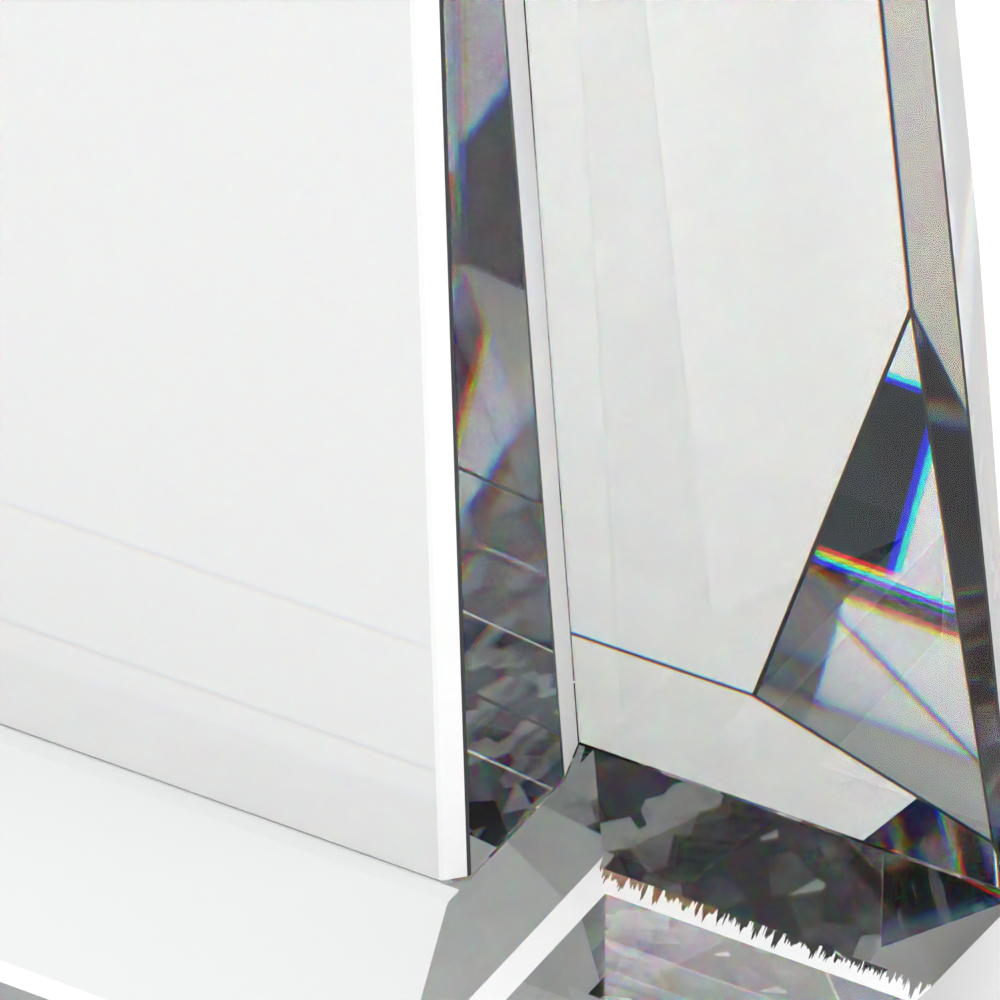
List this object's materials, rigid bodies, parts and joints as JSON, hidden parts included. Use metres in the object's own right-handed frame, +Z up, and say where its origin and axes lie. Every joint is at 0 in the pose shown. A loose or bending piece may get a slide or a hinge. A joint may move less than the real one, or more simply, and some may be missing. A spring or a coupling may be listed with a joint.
{
  "type": "crystal award",
  "caption": "Clear crystal award: a blank satin-faced front block bonded to a wide tapered rear prism on a stepped, bevelled crystal base with a dark and a pale pad.",
  "frame": {"origin": "centre of the resting face under the base", "axes": "+Z up, the blank front face towards -Y, +X to the right of a person who faces it"},
  "size_m": [0.152, 0.072, 0.1885],
  "materials": {
    "crystal_rear": "polished",
    "crystal_front": "polished, satin front face",
    "crystal_base": "polished",
    "clear_adhesive": "clear",
    "pad_adhesive": "matt",
    "dark_pad": "felted",
    "pale_pad": "felted"
  },
  "bodies": {
    "root": {"rear_prism": "crystal_rear", "front_block": "crystal_front", "base_block": "crystal_base", "bond_front_to_rear": "clear_adhesive", "bond_front_to_base": "clear_adhesive", "bond_rear_to_base": "clear_adhesive", "pad_adhesive": "pad_adhesive", "rear_pad": "dark_pad", "front_pad": "pale_pad"}
  },
  "joints": []
}
